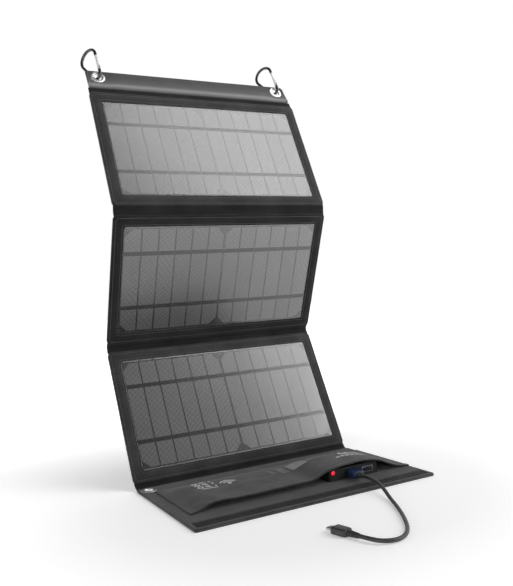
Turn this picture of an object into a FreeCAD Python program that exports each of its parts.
import FreeCAD, Part
import math
import os

# Folding solar charger, standing as a zigzag: a pocket section lies flat on the table,
# three panel sections rise from its rear edge, and a strip with two carabiners ends them.
# Origin: centre of the pocket section's underside. +X to the right, +Y to the rear, +Z up.
# Each section has a frame of its own: x across, y from its lower to its upper edge,
# z out of its front face, with z = 0 in the middle of its stiffener.

SIZES = {
    # sections
    "width": 280.0,
    "panel_rise": 157.0,
    "flap_depth": 160.0,
    "strip_rise": 31.0,
    "angle_lower": 64.0,
    "angle_middle": 112.0,
    "angle_upper": 66.0,
    "angle_strip": 58.0,
    # folds: distance from a section's edge to the axis, and the axis before or behind z = 0
    "root_gap": 6.0,
    "root_offset": 2.5,
    "root_axis_behind_flap": 3.5,
    "root_axis_up": 2.2,
    "fold_gap": 7.0,
    "web_inset": 3.0,
    "fold_offset": 3.1,
    "strip_gap": 3.0,
    # layers of a panel section, as heights above z = 0
    "cloth_back": -2.0,
    "cloth_top": -1.2,
    "board_top": 0.4,
    "sheet_top": 0.9,
    "cells_top": 1.2,
    "film_top": 1.6,
    "border_top": 2.2,
    "board_inset": 6.0,
    "laminate_inset": 8.0,
    "window_inset": 13.0,
    "panel_corner": 5.0,
    "window_corner": 2.0,
    # cells
    "wafer": 125.0,
    "wafer_gap": 2.0,
    "wafer_corner": 9.0,
    "strips_per_wafer": 6.0,
    "strip_spacing": 1.0,
    "ribbon": 3.6,
    "end_row": 27.5,
    # pocket section, as heights above the table
    "flap_cloth_top": 0.8,
    "flap_board_top": 2.4,
    "flap_top": 3.0,
    "flap_board_inset": 8.0,
    "flap_board_rear": 20.0,
    "flap_corner": 3.0,
    "flap_web_low": 0.2,
    "flap_web_high": 1.0,
    "cover_cloth": 1.2,
    "cover_front": 40.5,
    "cover_hem_rear": 21.0,
    "cover_hem_wide": 6.0,
    "cover_slope": 45.0,
    "lead_from_box_right": 14.0,
    "lead_behind_middle": 4.0,
    "lead_wide": 5.0,
    "lead_thick": 1.0,
    # eyelets
    "eyelet_bore": 4.8,
    "eyelet_flange": 9.0,
    "eyelet_wall": 0.6,
    "eyelet_lip": 0.6,
    "eyelet_fit": 0.1,
    "eyelet_across": 124.0,
    "eyelet_below_edge": 11.0,
    "flap_eyelet_outward": 5.5,
    "flap_eyelet_from_rear": 11.0,
    "strip_inset": 2.0,
    "strip_half": 1.2,
    "strip_corner": 4.0,
    "strip_web_half": 0.5,
    "core_half": 0.4,
    "core_margin": 4.0,
    "core_from_eyelet": 14.0,
    # carabiner, centre-line sizes
    "rod": 1.9,
    "hook_small": 6.0,
    "hook_large": 12.5,
    "hook_reach": 31.5,
    "hook_drop": 0.9,
    "hook_lean": 61.0,
    "hook_twist": 62.0,
    "gate_radius": 1.8,
    "gate_foot": 10.2,
    "gate_tip": 33.2,
    "nose": 33.6,
    "tongue_root": 9.0,
    "tongue_end": 14.0,
    "tongue_half": 0.9,
    "slot_half": 1.0,
    "pin_at": 12.0,
    "pin_radius": 0.7,
    "pin_hole": 0.75,
    # controller
    "box_wide": 64.0,
    "box_deep": 42.0,
    "box_high": 12.5,
    "box_split": 6.0,
    "box_wall": 1.6,
    "box_left": 34.0,
    "box_front": 44.0,
    "box_corner": 3.0,
    "circuit_thick": 1.6,
    "circuit_deep": 27.0,
    "post_radius": 2.8,
    "post_in": 6.0,
    "screw_radius": 0.95,
    "screw_hole": 1.0,
    "screw_foot": 3.0,
    "screw_head": 2.0,
    "screw_head_high": 1.0,
    "lens_radius": 2.4,
    "lens_fit": 0.05,
    "lens_dome": 1.2,
    "lens_in": 5.0,
    "lens_up": 8.8,
    # USB sockets and plug
    "socket_wide": 13.6,
    "socket_high": 6.1,
    "socket_deep": 14.0,
    "socket_wall": 0.6,
    "socket_pitch": 21.5,
    "socket_first": 28.5,
    "tongue_wide": 10.4,
    "tongue_thick": 1.4,
    "tongue_deep": 8.4,
    "tongue_up": 0.35,
    "plug_wide": 12.0,
    "plug_high": 4.5,
    "plug_deep": 11.8,
    "plug_wall": 0.3,
    "plug_gap": 0.4,
    "insulator_thick": 1.8,
    "insulator_short": 0.4,
    "grip_corner": 2.0,
    "grip_wide": 15.0,
    "grip_high": 8.0,
    "grip_deep": 15.0,
    "cable": 3.8,
    "cable_straight": 13.0,
    "sleeve_deep": 10.0,
    "sleeve_wide": 6.0,
    "sleeve_over_cable": 0.5,
    "connector_corner": 2.4,
    "tip_corner": 1.1,
    "connector_wide": 11.5,
    "connector_high": 6.6,
    "connector_deep": 16.0,
    "tip_wide": 8.3,
    "tip_high": 2.5,
    "tip_deep": 6.6,
}

# Centre line of the cable beyond the plug, measured from the origin (x, y, z).
CABLE_ROUTE = [
    (62.5, -67.0, 9.25),
    (60.0, -83.0, 9.4),
    (55.5, -100.0, 6.2),
    (48.5, -117.5, 2.7),
    (40.0, -137.0, 2.1),
    (30.0, -156.5, 2.0),
    (20.0, -173.5, 2.0),
    (9.5, -189.0, 2.0),
    (-2.0, -200.5, 2.0),
    (-14.5, -206.0, 2.2),
    (-27.0, -203.0, 2.8),
]
CONNECTOR_START = (-36.7, -180.8, 3.3)
CONNECTOR_HEADING = 103.0

App = FreeCAD
Vector = App.Vector
X_AXIS = Vector(1, 0, 0)
HOME = App.Placement()
NEAR = 1e-6

doc = App.newDocument("folding_solar_charger")
sheet = doc.addObject("Spreadsheet::Sheet", "Sizes")
for row, (alias, value) in enumerate(SIZES.items(), start=1):
    sheet.set(f"A{row}", alias)
    sheet.set(f"B{row}", str(value))
    sheet.setAlias(f"B{row}", alias)
doc.recompute()
pieces = []


def size(alias):
    """A driving dimension, read from the sheet."""
    return float(sheet.get(alias))


def bound(text):
    """Turns plain alias names in an expression into references to the sheet."""
    words = text.replace("(", "( ").replace(")", " )").split()
    return " ".join(f"Sizes.{word}" if word in SIZES else word for word in words)


def moved(x, y, z):
    return App.Placement(Vector(x, y, z), App.Rotation())


def piece(obj, name, frame=HOME):
    """Names a sub-part and stands it in its section's frame."""
    obj.Label = name
    obj.Placement = frame.multiply(obj.Placement)
    pieces.append(obj)
    return obj


def box(x, y, z, corner):
    """A block from its lowest corner; its sides are expressions of the sheet's names."""
    block = doc.addObject("Part::Box", "block")
    block.setExpression("Length", bound(x))
    block.setExpression("Width", bound(y))
    block.setExpression("Height", bound(z))
    block.Placement = moved(*corner)
    return block


def round_bar(radius, height, centre, axis=Vector(0, 0, 1)):
    """A cylinder from the centre of its first end, along axis."""
    bar = doc.addObject("Part::Cylinder", "bar")
    bar.setExpression("Radius", bound(radius))
    bar.setExpression("Height", bound(height))
    bar.Placement = App.Placement(Vector(*centre), App.Rotation(Vector(0, 0, 1), axis))
    return bar


def cut(base, *tools):
    """The base with every tool taken out of it."""
    result = base
    for tool in tools:
        step = doc.addObject("Part::Cut", "cut")
        step.Base = result
        step.Tool = tool
        result = step
    return result


def fuse(*shapes):
    joined = doc.addObject("Part::MultiFuse", "fuse")
    joined.Shapes = list(shapes)
    return joined


def rounded(base, radius, chosen):
    """Rounds the edges of base for which chosen(edge) holds."""
    doc.recompute()
    edges = [n for n, edge in enumerate(base.Shape.Edges, start=1) if chosen(edge)]
    fillet = doc.addObject("Part::Fillet", "fillet")
    fillet.Base = base
    fillet.Edges = [(n, radius, radius) for n in edges]
    return fillet


def along(axis):
    """Chooses straight edges that run along one axis."""
    direction = Vector(*axis)

    def chosen(edge):
        ends = edge.Vertexes
        if len(ends) < 2:
            return False
        run = ends[1].Point - ends[0].Point
        return abs(abs(run.normalize().dot(direction)) - 1) < NEAR

    return chosen


UPRIGHT = along((0, 0, 1))
LENGTHWAYS = along((0, 1, 0))


def shaped(shape, name, frame=HOME):
    """A sub-part whose shape is worked out from the sheet by Part's own functions."""
    feature = doc.addObject("Part::Feature", "feature")
    feature.Shape = shape
    return piece(feature, name, frame)


# ---------------------------------------------------------------- section frames


def section_frame(origin, angle):
    return App.Placement(origin, App.Rotation(X_AXIS, angle))


def hinged(axis_point, angle, gap, offset):
    """The frame of a section whose lower edge stands gap beyond an axis at height offset."""
    turn = App.Rotation(X_AXIS, angle)
    return App.Placement(axis_point - turn.multVec(Vector(0, -gap, offset)), turn)


half_width = size("width") / 2
flap_front = -size("flap_depth") / 2
flap_rear = size("flap_depth") / 2
root_axis = Vector(0, flap_rear + size("root_axis_behind_flap"), size("root_axis_up"))
lower_frame = hinged(root_axis, size("angle_lower"), size("root_gap"), size("root_offset"))
top_of_panel = size("panel_rise") + size("fold_gap")
middle_axis = lower_frame.multVec(Vector(0, top_of_panel, -size("fold_offset")))
middle_frame = hinged(
    middle_axis, size("angle_middle"), size("fold_gap"), -size("fold_offset")
)
upper_axis = middle_frame.multVec(Vector(0, top_of_panel, size("fold_offset")))
upper_frame = hinged(
    upper_axis, size("angle_upper"), size("fold_gap"), size("fold_offset")
)
strip_axis = upper_frame.multVec(Vector(0, size("panel_rise") + size("strip_gap"), 0))
strip_frame = hinged(strip_axis, size("angle_strip"), size("strip_gap"), 0)

# ---------------------------------------------------------------- panel sections


def layer(inset, low, high):
    """A flat sheet over a panel section, inset from its edges, between two heights."""
    return box(
        f"width - 2 * {inset}",
        f"panel_rise - 2 * {inset}",
        f"{high} - {low}",
        (-half_width + size_of(inset), size_of(inset), size(low)),
    )


def size_of(word):
    """The value of an alias, or of a plain number."""
    return size(word) if word in SIZES else float(word)


def wafer_outline(x0, x1, y0, y1, left, right, thick):
    """One cell strip: a rectangle, with a corner off where it is the wafer's own."""
    corner = size("wafer_corner")
    near, far = (corner if left else 0), (corner if right else 0)
    points = [
        (x0 + near, y0),
        (x1 - far, y0),
        (x1, y0 + far),
        (x1, y1),
        (x0, y1),
        (x0, y0 + near),
    ]
    path = []
    for x, y in points:
        if not path or (Vector(x, y, 0) - path[-1]).Length > NEAR:
            path.append(Vector(x, y, 0))
    if (path[0] - path[-1]).Length < NEAR:
        path.pop()
    face = Part.Face(Part.makePolygon(path + [path[0]]))
    return face.extrude(Vector(0, 0, thick))


def cell_strips():
    """Two wafers side by side, cut into upright strips and three rows."""
    count = int(size("strips_per_wafer"))
    spacing = size("strip_spacing")
    wide = (size("wafer") - (count - 1) * spacing) / count
    thick = size("cells_top") - size("sheet_top")
    low = size("panel_rise") / 2 - size("wafer") / 2
    high = low + size("wafer")
    end_row = size("end_row")
    ribbon = size("ribbon")
    middle = (low + high) / 2
    strips = []
    for side in (-1, 1):
        start = side * size("wafer_gap") / 2 + min(side, 0) * size("wafer")
        for n in range(count):
            x0 = start + n * (wide + spacing)
            ends = (n == 0, n == count - 1)
            bottom = wafer_outline(x0, x0 + wide, low, low + end_row, *ends, thick)
            top = bottom.mirror(Vector(0, middle, 0), Vector(0, 1, 0))
            centre = Part.makeBox(
                wide,
                size("wafer") - 2 * (end_row + ribbon),
                thick,
                Vector(x0, low + end_row + ribbon, 0),
            )
            strips += [bottom, centre, top]
    shape = Part.makeCompound(strips)
    shape.translate(Vector(0, 0, size("sheet_top")))
    return shape


def cell_ribbons():
    """The dark strips that join the three rows of cells."""
    low = size("panel_rise") / 2 - size("wafer") / 2 + size("end_row")
    across = 2 * size("wafer") + size("wafer_gap")
    rise = size("wafer") - 2 * size("end_row") - size("ribbon")
    bars = [
        box("2 * wafer + wafer_gap", "ribbon", "cells_top - sheet_top",
            (-across / 2, low + up, size("sheet_top")))
        for up in (0, rise)
    ]
    return fuse(*bars)


def window_border():
    """The cloth border: it closes the sides and laps over the edge of the laminate."""
    full = layer("0", "cloth_top", "border_top")
    full = rounded(full, size("panel_corner"), UPRIGHT)
    board = layer("board_inset", "cloth_top", "board_top")
    laminate = layer("laminate_inset", "board_top", "film_top")
    window = layer("window_inset", "film_top", "border_top")
    window = rounded(window, size("window_corner"), UPRIGHT)
    return cut(full, board, laminate, window)


def panel_section(where, frame):
    cloth = rounded(layer("0", "cloth_back", "cloth_top"), size("panel_corner"), UPRIGHT)
    piece(cloth, f"{where}_backing_cloth", frame)
    piece(layer("board_inset", "cloth_top", "board_top"), f"{where}_stiffener", frame)
    piece(layer("laminate_inset", "board_top", "sheet_top"), f"{where}_back_sheet", frame)
    shaped(cell_strips(), f"{where}_cell_strips", frame)
    piece(cell_ribbons(), f"{where}_cell_ribbons", frame)
    piece(layer("laminate_inset", "cells_top", "film_top"), f"{where}_clear_film", frame)
    piece(window_border(), f"{where}_window_border", frame)


panel_section("lower", lower_frame)
panel_section("middle", middle_frame)
panel_section("upper", upper_frame)

# ---------------------------------------------------------------- fold webs


def meeting(point_a, run_a, point_b, run_b):
    """Where two lines in the YZ plane meet."""
    between = point_b - point_a
    cross = run_a.y * run_b.z - run_a.z * run_b.y
    along_a = (between.y * run_b.z - between.z * run_b.y) / cross
    return point_a + run_a * along_a


def fold_web(name, frame_a, end_a, levels_a, frame_b, levels_b):
    """A bent cloth strip from the upper edge of one section to the lower edge of the next.

    The levels are the heights of its two faces in each section's frame.
    """
    run_a = frame_a.Rotation.multVec(Vector(0, 1, 0))
    run_b = frame_b.Rotation.multVec(Vector(0, 1, 0))
    corners = []
    for level_a, level_b in zip(levels_a, levels_b):
        first = frame_a.multVec(Vector(0, end_a, level_a))
        last = frame_b.multVec(Vector(0, 0, level_b))
        corners.append([first, meeting(first, run_a, last, run_b), last])
    outline = corners[0] + corners[1][::-1]
    face = Part.Face(Part.makePolygon(outline + [outline[0]]))
    inset = size("web_inset")
    web = face.extrude(Vector(size("width") - 2 * inset, 0, 0))
    web.translate(Vector(-half_width + inset, 0, 0))
    return shaped(web, name)


flap_frame = moved(0, flap_front, 0)
rise = size("panel_rise")
at_back = (size("cloth_back"), size("cloth_top"))
at_front = (size("sheet_top"), size("border_top"))
at_middle = (-size("strip_web_half"), size("strip_web_half"))
in_flap = (size("flap_web_low"), size("flap_web_high"))
fold_web("root_fold_web", flap_frame, size("flap_depth"), in_flap, lower_frame, at_back)
fold_web("middle_fold_web", lower_frame, rise, at_back, middle_frame, at_back)
fold_web("upper_fold_web", middle_frame, rise, at_front, upper_frame, at_front)
fold_web("strip_fold_web", upper_frame, rise, at_middle, strip_frame, at_middle)

# ---------------------------------------------------------------- hanging strip


def eyelet(low, high):
    """A barrel with a flange on top; the washer below it is a piece of its own."""
    tall = f"{high - low} + eyelet_lip"
    barrel = round_bar("eyelet_bore + eyelet_wall", tall, (0, 0, low))
    flange = round_bar("eyelet_flange", "eyelet_lip", (0, 0, high))
    return cut(fuse(barrel, flange), round_bar("eyelet_bore", tall, (0, 0, low)))


half = size("strip_half")
eyelet_up = size("strip_rise") - size("eyelet_below_edge")
hole_radius = "eyelet_bore + eyelet_wall + eyelet_fit"
strip_cloth = rounded(
    box("width - 2 * strip_inset", "strip_rise", "2 * strip_half",
        (-half_width + size("strip_inset"), 0, -half)),
    size("strip_corner"),
    UPRIGHT,
)
strip_tools = [
    round_bar(hole_radius, "2 * strip_half", (side * size("eyelet_across"), eyelet_up, -half))
    for side in (-1, 1)
]
core_sides = (
    "2 * (eyelet_across - core_from_eyelet)",
    "strip_rise - 2 * core_margin",
    "2 * core_half",
)
core_corner = (
    size("core_from_eyelet") - size("eyelet_across"),
    size("core_margin"),
    -size("core_half"),
)
strip_tools.append(box(*core_sides, core_corner))
piece(cut(strip_cloth, *strip_tools), "strip_cloth", strip_frame)
piece(box(*core_sides, core_corner), "strip_core", strip_frame)

for side, hand in ((-1, "left"), (1, "right")):
    spot = strip_frame.multiply(moved(side * size("eyelet_across"), eyelet_up, 0))
    lip = size("eyelet_lip")
    piece(eyelet(-half - lip, half), f"strip_eyelet_{hand}", spot)
    washer = cut(
        round_bar("eyelet_flange", "eyelet_lip", (0, 0, -half - lip)),
        round_bar(hole_radius, "eyelet_lip", (0, 0, -half - lip)),
    )
    piece(washer, f"strip_washer_{hand}", spot)

# ---------------------------------------------------------------- carabiners


def arc_point(centre, radius, angle):
    turn = math.radians(angle)
    return centre + Vector(radius * math.cos(turn), radius * math.sin(turn), 0)


def arc_edge(centre, radius, first, last):
    points = [arc_point(centre, radius, a) for a in (first, (first + last) / 2, last)]
    return Part.Arc(*points).toShape()


def carabiner_rod():
    """A rod bent round a small and a large bow, open on the gate side (x = small bow)."""
    small = size("hook_small")
    large = size("hook_large")
    foot = Vector(0, small, 0)
    head = Vector(small - large, small + size("hook_reach"), 0)
    run = head - foot
    # the back touches both bows: its normal mirrors the gate side's about their centre line
    lean = math.degrees(math.atan2(run.y, run.x))
    normal = 2 * lean
    spine_from = arc_point(foot, small, normal)
    spine_to = arc_point(head, large, normal)
    edges = [
        Part.LineSegment(Vector(small, size("tongue_end"), 0), Vector(small, small, 0)).toShape(),
        arc_edge(foot, small, 0, normal - 360),
        Part.LineSegment(spine_from, spine_to).toShape(),
        arc_edge(head, large, normal, 0),
        Part.LineSegment(Vector(small, head.y, 0), Vector(small, size("nose"), 0)).toShape(),
    ]
    path = Part.Wire(edges)
    start = Vector(small, size("tongue_end"), 0)
    profile = Part.Wire(Part.makeCircle(size("rod"), start, Vector(0, 1, 0)))
    rod = path.makePipeShell([profile], True, False)
    high = size("tongue_end") - size("tongue_root")
    wide = 4 * size("rod")
    for face in (size("tongue_half"), -size("tongue_half") - wide):
        corner = Vector(small - wide / 2, size("tongue_root"), face)
        rod = rod.cut(Part.makeBox(wide, high + 1, wide, corner))
    hole = Part.makeCylinder(
        size("pin_hole"), wide, Vector(small, size("pin_at"), -wide / 2), Vector(0, 0, 1)
    )
    return rod.cut(hole)


def carabiner(side, hand):
    """The loop leans back, and is twisted so that it straddles the strip's upper margin."""
    eye = strip_frame.multVec(Vector(side * size("eyelet_across"), eyelet_up, 0))
    lean = App.Rotation(X_AXIS, size("hook_lean"))
    twist = App.Rotation(Vector(0, 1, 0), -size("hook_twist"))
    turn = lean.multiply(twist)
    spot = App.Placement(eye - turn.multVec(Vector(0, size("hook_drop"), 0)), turn)
    shaped(carabiner_rod(), f"carabiner_{hand}_rod", spot)
    small = size("hook_small")
    pin_at = size("pin_at")
    bar = round_bar(
        "gate_radius", "gate_tip - gate_foot", (small, size("gate_foot"), 0), Vector(0, 1, 0)
    )
    slot = box(
        "4 * rod",
        "tongue_end - gate_foot + 2",
        "2 * slot_half",
        (small - 2 * size("rod"), size("gate_foot"), -size("slot_half")),
    )
    hole = round_bar("pin_hole", "4 * rod", (small, pin_at, -2 * size("rod")))
    piece(cut(bar, slot, hole), f"gate_{hand}_bar", spot)
    pin = round_bar("pin_radius", "2 * gate_radius", (small, pin_at, -size("gate_radius")))
    piece(pin, f"carabiner_{hand}_pin", spot)
    return eye, spot


carabiner_spots = [carabiner(-1, "left"), carabiner(1, "right")]

# ---------------------------------------------------------------- pocket section

lead_left = size("box_left") + size("box_wide") - size("lead_from_box_right")
lead_sides = ("lead_wide", "flap_depth / 2 - lead_behind_middle", "lead_thick")
lead_corner = (lead_left, size("lead_behind_middle"), size("flap_board_top") - size("lead_thick"))
eyelet_spot = (
    -size("eyelet_across") - size("flap_eyelet_outward"),
    flap_rear - size("flap_eyelet_from_rear"),
)


def flap_hole():
    return round_bar(hole_radius, "flap_top", (*eyelet_spot, 0))


flap_cloth = rounded(
    box("width", "flap_depth", "flap_cloth_top", (-half_width, flap_front, 0)),
    size("flap_corner"),
    UPRIGHT,
)
piece(cut(flap_cloth, flap_hole()), "flap_backing_cloth")
inset = size("flap_board_inset")
board_sides = (
    "width - 2 * flap_board_inset",
    "flap_depth - flap_board_inset - flap_board_rear",
    "flap_board_top - flap_cloth_top",
)
board_corner = (-half_width + inset, flap_front + inset, size("flap_cloth_top"))
piece(cut(box(*board_sides, board_corner), box(*lead_sides, lead_corner)), "flap_stiffener")
piece(box(*lead_sides, lead_corner), "panel_lead")
lining = rounded(
    box("width", "flap_depth", "flap_top - flap_cloth_top",
        (-half_width, flap_front, size("flap_cloth_top"))),
    size("flap_corner"),
    UPRIGHT,
)
lining = cut(lining, box(*board_sides, board_corner), box(*lead_sides, lead_corner), flap_hole())
piece(lining, "flap_lining_cloth")
piece(eyelet(0, size("flap_top")), "flap_eyelet", moved(*eyelet_spot, 0))


def pocket_cover():
    """The sewn cover: flat at its rear hem, arched over the controller at its open mouth."""
    low = size("flap_top")
    left = size("box_left")
    right = left + size("box_wide")
    over = low + size("box_high")
    # The underside at the mouth, point by point from the left hem to the right hem: it
    # lifts a little over the left pocket and bulges over the controller.
    mouth = [
        (-half_width + 13, low),
        (-half_width + 19, low),
        (-half_width + 36, low + 5.4),
        (left - 22, low + 5.8),
        (left - 3, over + 0.6),
        (left + 18, over + 2.7),
        (left + 42, over + 3.6),
        (right, over + 0.8),
        (right + 19, low + 4.0),
        (half_width - 8, low),
        (half_width - 1, low),
    ]
    # How far each cross-section is lifted towards the mouth's outline.
    hem = flap_rear - size("cover_hem_rear")
    stations = [
        (hem, 0.0),
        (hem - size("cover_hem_wide"), 0.0),
        (hem - size("cover_hem_wide") - size("cover_slope"), 1.0),
        (flap_front + size("cover_front"), 1.0),
    ]
    rings = []
    for y, lift in stations:
        under = [Vector(x, y, low + lift * (z - low)) for x, z in mouth]
        above = [point + Vector(0, 0, size("cover_cloth")) for point in under]
        loop = under + above[::-1]
        rings.append(Part.makePolygon(loop + [loop[0]]))
    return Part.makeLoft(rings, True, True)


shaped(pocket_cover(), "pocket_cover")

# ---------------------------------------------------------------- controller

box_front = flap_front + size("box_front")
box_low = size("flap_top")
box_middle = box_low + size("box_split")
box_top = box_low + size("box_high")
wall = size("box_wall")
box_left = size("box_left")
circuit_top = box_low + wall + size("circuit_thick")
socket_low = circuit_top
socket_lefts = [
    box_left + size("socket_first") - size("socket_wide") / 2 + n * size("socket_pitch")
    for n in range(2)
]
post_spots = [
    (box_left + size("post_in"), box_front + size("box_deep") - size("post_in")),
    (box_left + size("box_wide") - size("post_in"), box_front + size("box_deep") - size("post_in")),
]


def socket_hole(left):
    return box("socket_wide", "socket_deep", "socket_high", (left, box_front, socket_low))


def hollow_box(low, high, cavity_low, cavity_high, post_low, post_high):
    """Half of the housing, with its two screw posts."""
    outer = box("box_wide", "box_deep", f"{high - low}", (box_left, box_front, low))
    outer = rounded(outer, size("box_corner"), UPRIGHT)
    cavity = box("box_wide - 2 * box_wall", "box_deep - 2 * box_wall",
                 f"{cavity_high - cavity_low}",
                 (box_left + wall, box_front + wall, cavity_low))
    shell = cut(outer, cavity)
    posts = [
        round_bar("post_radius", f"{post_high - post_low}", (x, y, post_low))
        for x, y in post_spots
    ]
    return fuse(shell, *posts)


base = hollow_box(box_low, box_middle, box_low + wall, box_middle, box_low + wall, box_middle)
lid = hollow_box(box_middle, box_top, box_middle, box_top - wall, box_middle, box_top - wall)
screw_foot = box_low + size("screw_foot")
base_tools = [socket_hole(left) for left in socket_lefts]
base_tools += [
    round_bar("screw_hole", f"{box_middle - screw_foot}", (x, y, screw_foot))
    for x, y in post_spots
]
piece(cut(base, *base_tools), "controller_base")
lid_tools = [socket_hole(left) for left in socket_lefts]
lid_tools += [
    round_bar("screw_hole", f"{box_top - box_middle}", (x, y, box_middle)) for x, y in post_spots
]
lid_tools += [
    round_bar("screw_head + screw_hole - screw_radius", "screw_head_high",
              (x, y, box_top - size("screw_head_high")))
    for x, y in post_spots
]
lens_x = box_left + size("lens_in")
lens_z = box_low + size("lens_up")
lid_tools.append(
    round_bar("lens_radius", "box_wall", (lens_x, box_front, lens_z), Vector(0, 1, 0))
)
piece(cut(lid, *lid_tools), "controller_lid")
circuit = box("box_wide - 2 * box_wall", "circuit_deep", "circuit_thick",
              (box_left + wall, box_front + wall, box_low + wall))
piece(circuit, "controller_circuit")
for number, (x, y) in enumerate(post_spots, start=1):
    shank_high = box_top - screw_foot - size("screw_head_high")
    shank = round_bar("screw_radius", f"{shank_high}", (x, y, screw_foot))
    head = round_bar("screw_head", "screw_head_high", (x, y, screw_foot + shank_high))
    piece(fuse(shank, head), f"controller_screw_{number}")


def status_lens():
    """A lens through the front wall with a domed front, cut from a ball."""
    radius = size("lens_radius") - size("lens_fit")
    dome = size("lens_dome")
    ball = doc.addObject("Part::Sphere", "ball")
    ball.Radius = (radius**2 + dome**2) / (2 * dome)
    ball.Placement = moved(0, ball.Radius.Value - dome, 0)
    bar = round_bar("lens_radius - lens_fit", "box_wall + lens_dome", (0, -dome, 0),
                    Vector(0, 1, 0))
    lens = doc.addObject("Part::Common", "lens")
    lens.Base = bar
    lens.Tool = ball
    return lens


piece(status_lens(), "status_lens", moved(lens_x, box_front, lens_z))

socket_wall = size("socket_wall")
for left, hand in zip(socket_lefts, ("left", "right")):
    outer = box("socket_wide", "socket_deep", "socket_high", (left, box_front, socket_low))
    cavity = box("socket_wide - 2 * socket_wall", "socket_deep - socket_wall",
                 "socket_high - 2 * socket_wall",
                 (left + socket_wall, box_front, socket_low + socket_wall))
    piece(cut(outer, cavity), f"usb_socket_{hand}")
    tongue = box("tongue_wide", "tongue_deep", "tongue_thick",
                 (left + (size("socket_wide") - size("tongue_wide")) / 2,
                  box_front + size("socket_deep") - socket_wall - size("tongue_deep"),
                  socket_low + size("socket_high") / 2 + size("tongue_up")))
    piece(tongue, f"socket_tongue_{hand}")

# ---------------------------------------------------------------- charging lead

plug_x = socket_lefts[0] + size("socket_wide") / 2
plug_z = socket_low + size("socket_high") / 2
grip_rear = box_front - size("plug_gap")
outer = box("plug_wide", "plug_deep", "plug_high",
            (plug_x - size("plug_wide") / 2, grip_rear, plug_z - size("plug_high") / 2))
inner = box("plug_wide - 2 * plug_wall", "plug_deep", "plug_high - 2 * plug_wall",
            (plug_x - size("plug_wide") / 2 + size("plug_wall"), grip_rear,
             plug_z - size("plug_high") / 2 + size("plug_wall")))
piece(cut(outer, inner), "usb_plug_shell")
insulator = box("plug_wide - 2 * plug_wall", "plug_deep - insulator_short", "insulator_thick",
                (plug_x - size("plug_wide") / 2 + size("plug_wall"), grip_rear,
                 plug_z - size("plug_high") / 2 + size("plug_wall")))
piece(insulator, "usb_plug_insulator")
grip = box("grip_wide", "grip_deep", "grip_high",
           (plug_x - size("grip_wide") / 2, grip_rear - size("grip_deep"),
            plug_z - size("grip_high") / 2))
piece(rounded(grip, size("grip_corner"), LENGTHWAYS), "usb_plug_grip")


def corner_radius(before, point, after):
    """The arc's radius at a corner of the route, from its shorter run and its turn."""
    one = point - before
    two = after - point
    reach = 0.45 * min(one.Length, two.Length)
    return reach, reach / math.tan(one.getAngle(two) / 2)


def cable_path(points):
    """Straight runs joined by tangent arcs."""
    edges = []
    last = points[0]
    for before, point, after in zip(points, points[1:], points[2:]):
        reach, radius = corner_radius(before, point, after)
        arrive = (point - before).normalize()
        leave = (after - point).normalize()
        start = point - arrive * reach
        end = point + leave * reach
        inward = (leave - arrive).normalize()
        centre = point + inward * math.hypot(reach, radius)
        middle = centre - inward * radius
        edges.append(Part.LineSegment(last, start).toShape())
        edges.append(Part.Arc(start, middle, end).toShape())
        last = end
        print(f"cable corner radius {radius:.1f} mm")
    edges.append(Part.LineSegment(last, points[-1]).toShape())
    return Part.Wire(edges)


cable_start = Vector(plug_x, grip_rear - size("grip_deep"), plug_z)
cable_end = Vector(*CONNECTOR_START)
heading = App.Rotation(Vector(0, 0, 1), CONNECTOR_HEADING - 90)
straight_end = cable_end - heading.multVec(Vector(0, size("cable_straight"), 0))
route = [cable_start] + [Vector(*point) for point in CABLE_ROUTE] + [straight_end, cable_end]
path = cable_path(route)
start_run = route[1] - route[0]
profile = Part.Wire(Part.makeCircle(size("cable") / 2, route[0], start_run))
tube = path.makePipeShell([profile], True, True)
expected = math.pi * (size("cable") / 2) ** 2 * path.Length
print(f"cable length {path.Length:.1f} mm, volume {tube.Volume:.0f} of {expected:.0f} mm3")
shaped(tube, "cable_tube")

connector_frame = App.Placement(cable_end, heading)


def connector_block(wide, deep, high, y):
    return box(wide, deep, high, (-size(wide) / 2, y, -size(high) / 2))


sleeve = Part.makeCone(
    size("cable") / 2 + size("sleeve_over_cable"), size("sleeve_wide") / 2, size("sleeve_deep"),
    Vector(0, 0, 0), Vector(0, 1, 0),
)
shaped(sleeve, "connector_sleeve", connector_frame)
body = connector_block("connector_wide", "connector_deep", "connector_high", size("sleeve_deep"))
piece(rounded(body, size("connector_corner"), LENGTHWAYS), "connector_grip", connector_frame)
tip = connector_block(
    "tip_wide", "tip_deep", "tip_high", size("sleeve_deep") + size("connector_deep")
)
piece(rounded(tip, size("tip_corner"), LENGTHWAYS), "connector_tip", connector_frame)

# ---------------------------------------------------------------- check and export

doc.recompute()
for obj in doc.Objects:
    if {"Invalid", "Error"} & set(obj.State):
        raise SystemExit(f"{obj.Label} failed: {obj.State}")
os.makedirs("parts", exist_ok=True)
for obj in pieces:
    if obj.Shape.isNull() or not obj.Shape.isValid() or not obj.Shape.Solids:
        raise SystemExit(f"{obj.Label} has no valid solid")
    obj.Shape.exportStep(f"parts/{obj.Label}.step")
for label, point in (
    ("root fold", root_axis),
    ("middle fold", middle_axis),
    ("upper fold", upper_axis),
    ("strip fold", strip_axis),
):
    print(f"{label} axis at y {point.y:.3f}, z {point.z:.3f}")
for eye, spot in carabiner_spots:
    pin_point = spot.multVec(Vector(size("hook_small"), size("pin_at"), 0))
    pin_axis = spot.Rotation.multVec(Vector(0, 0, 1))
    print("carabiner eye", eye, "gate pin", pin_point, "axis", pin_axis)
print(f"{len(pieces)} pieces")
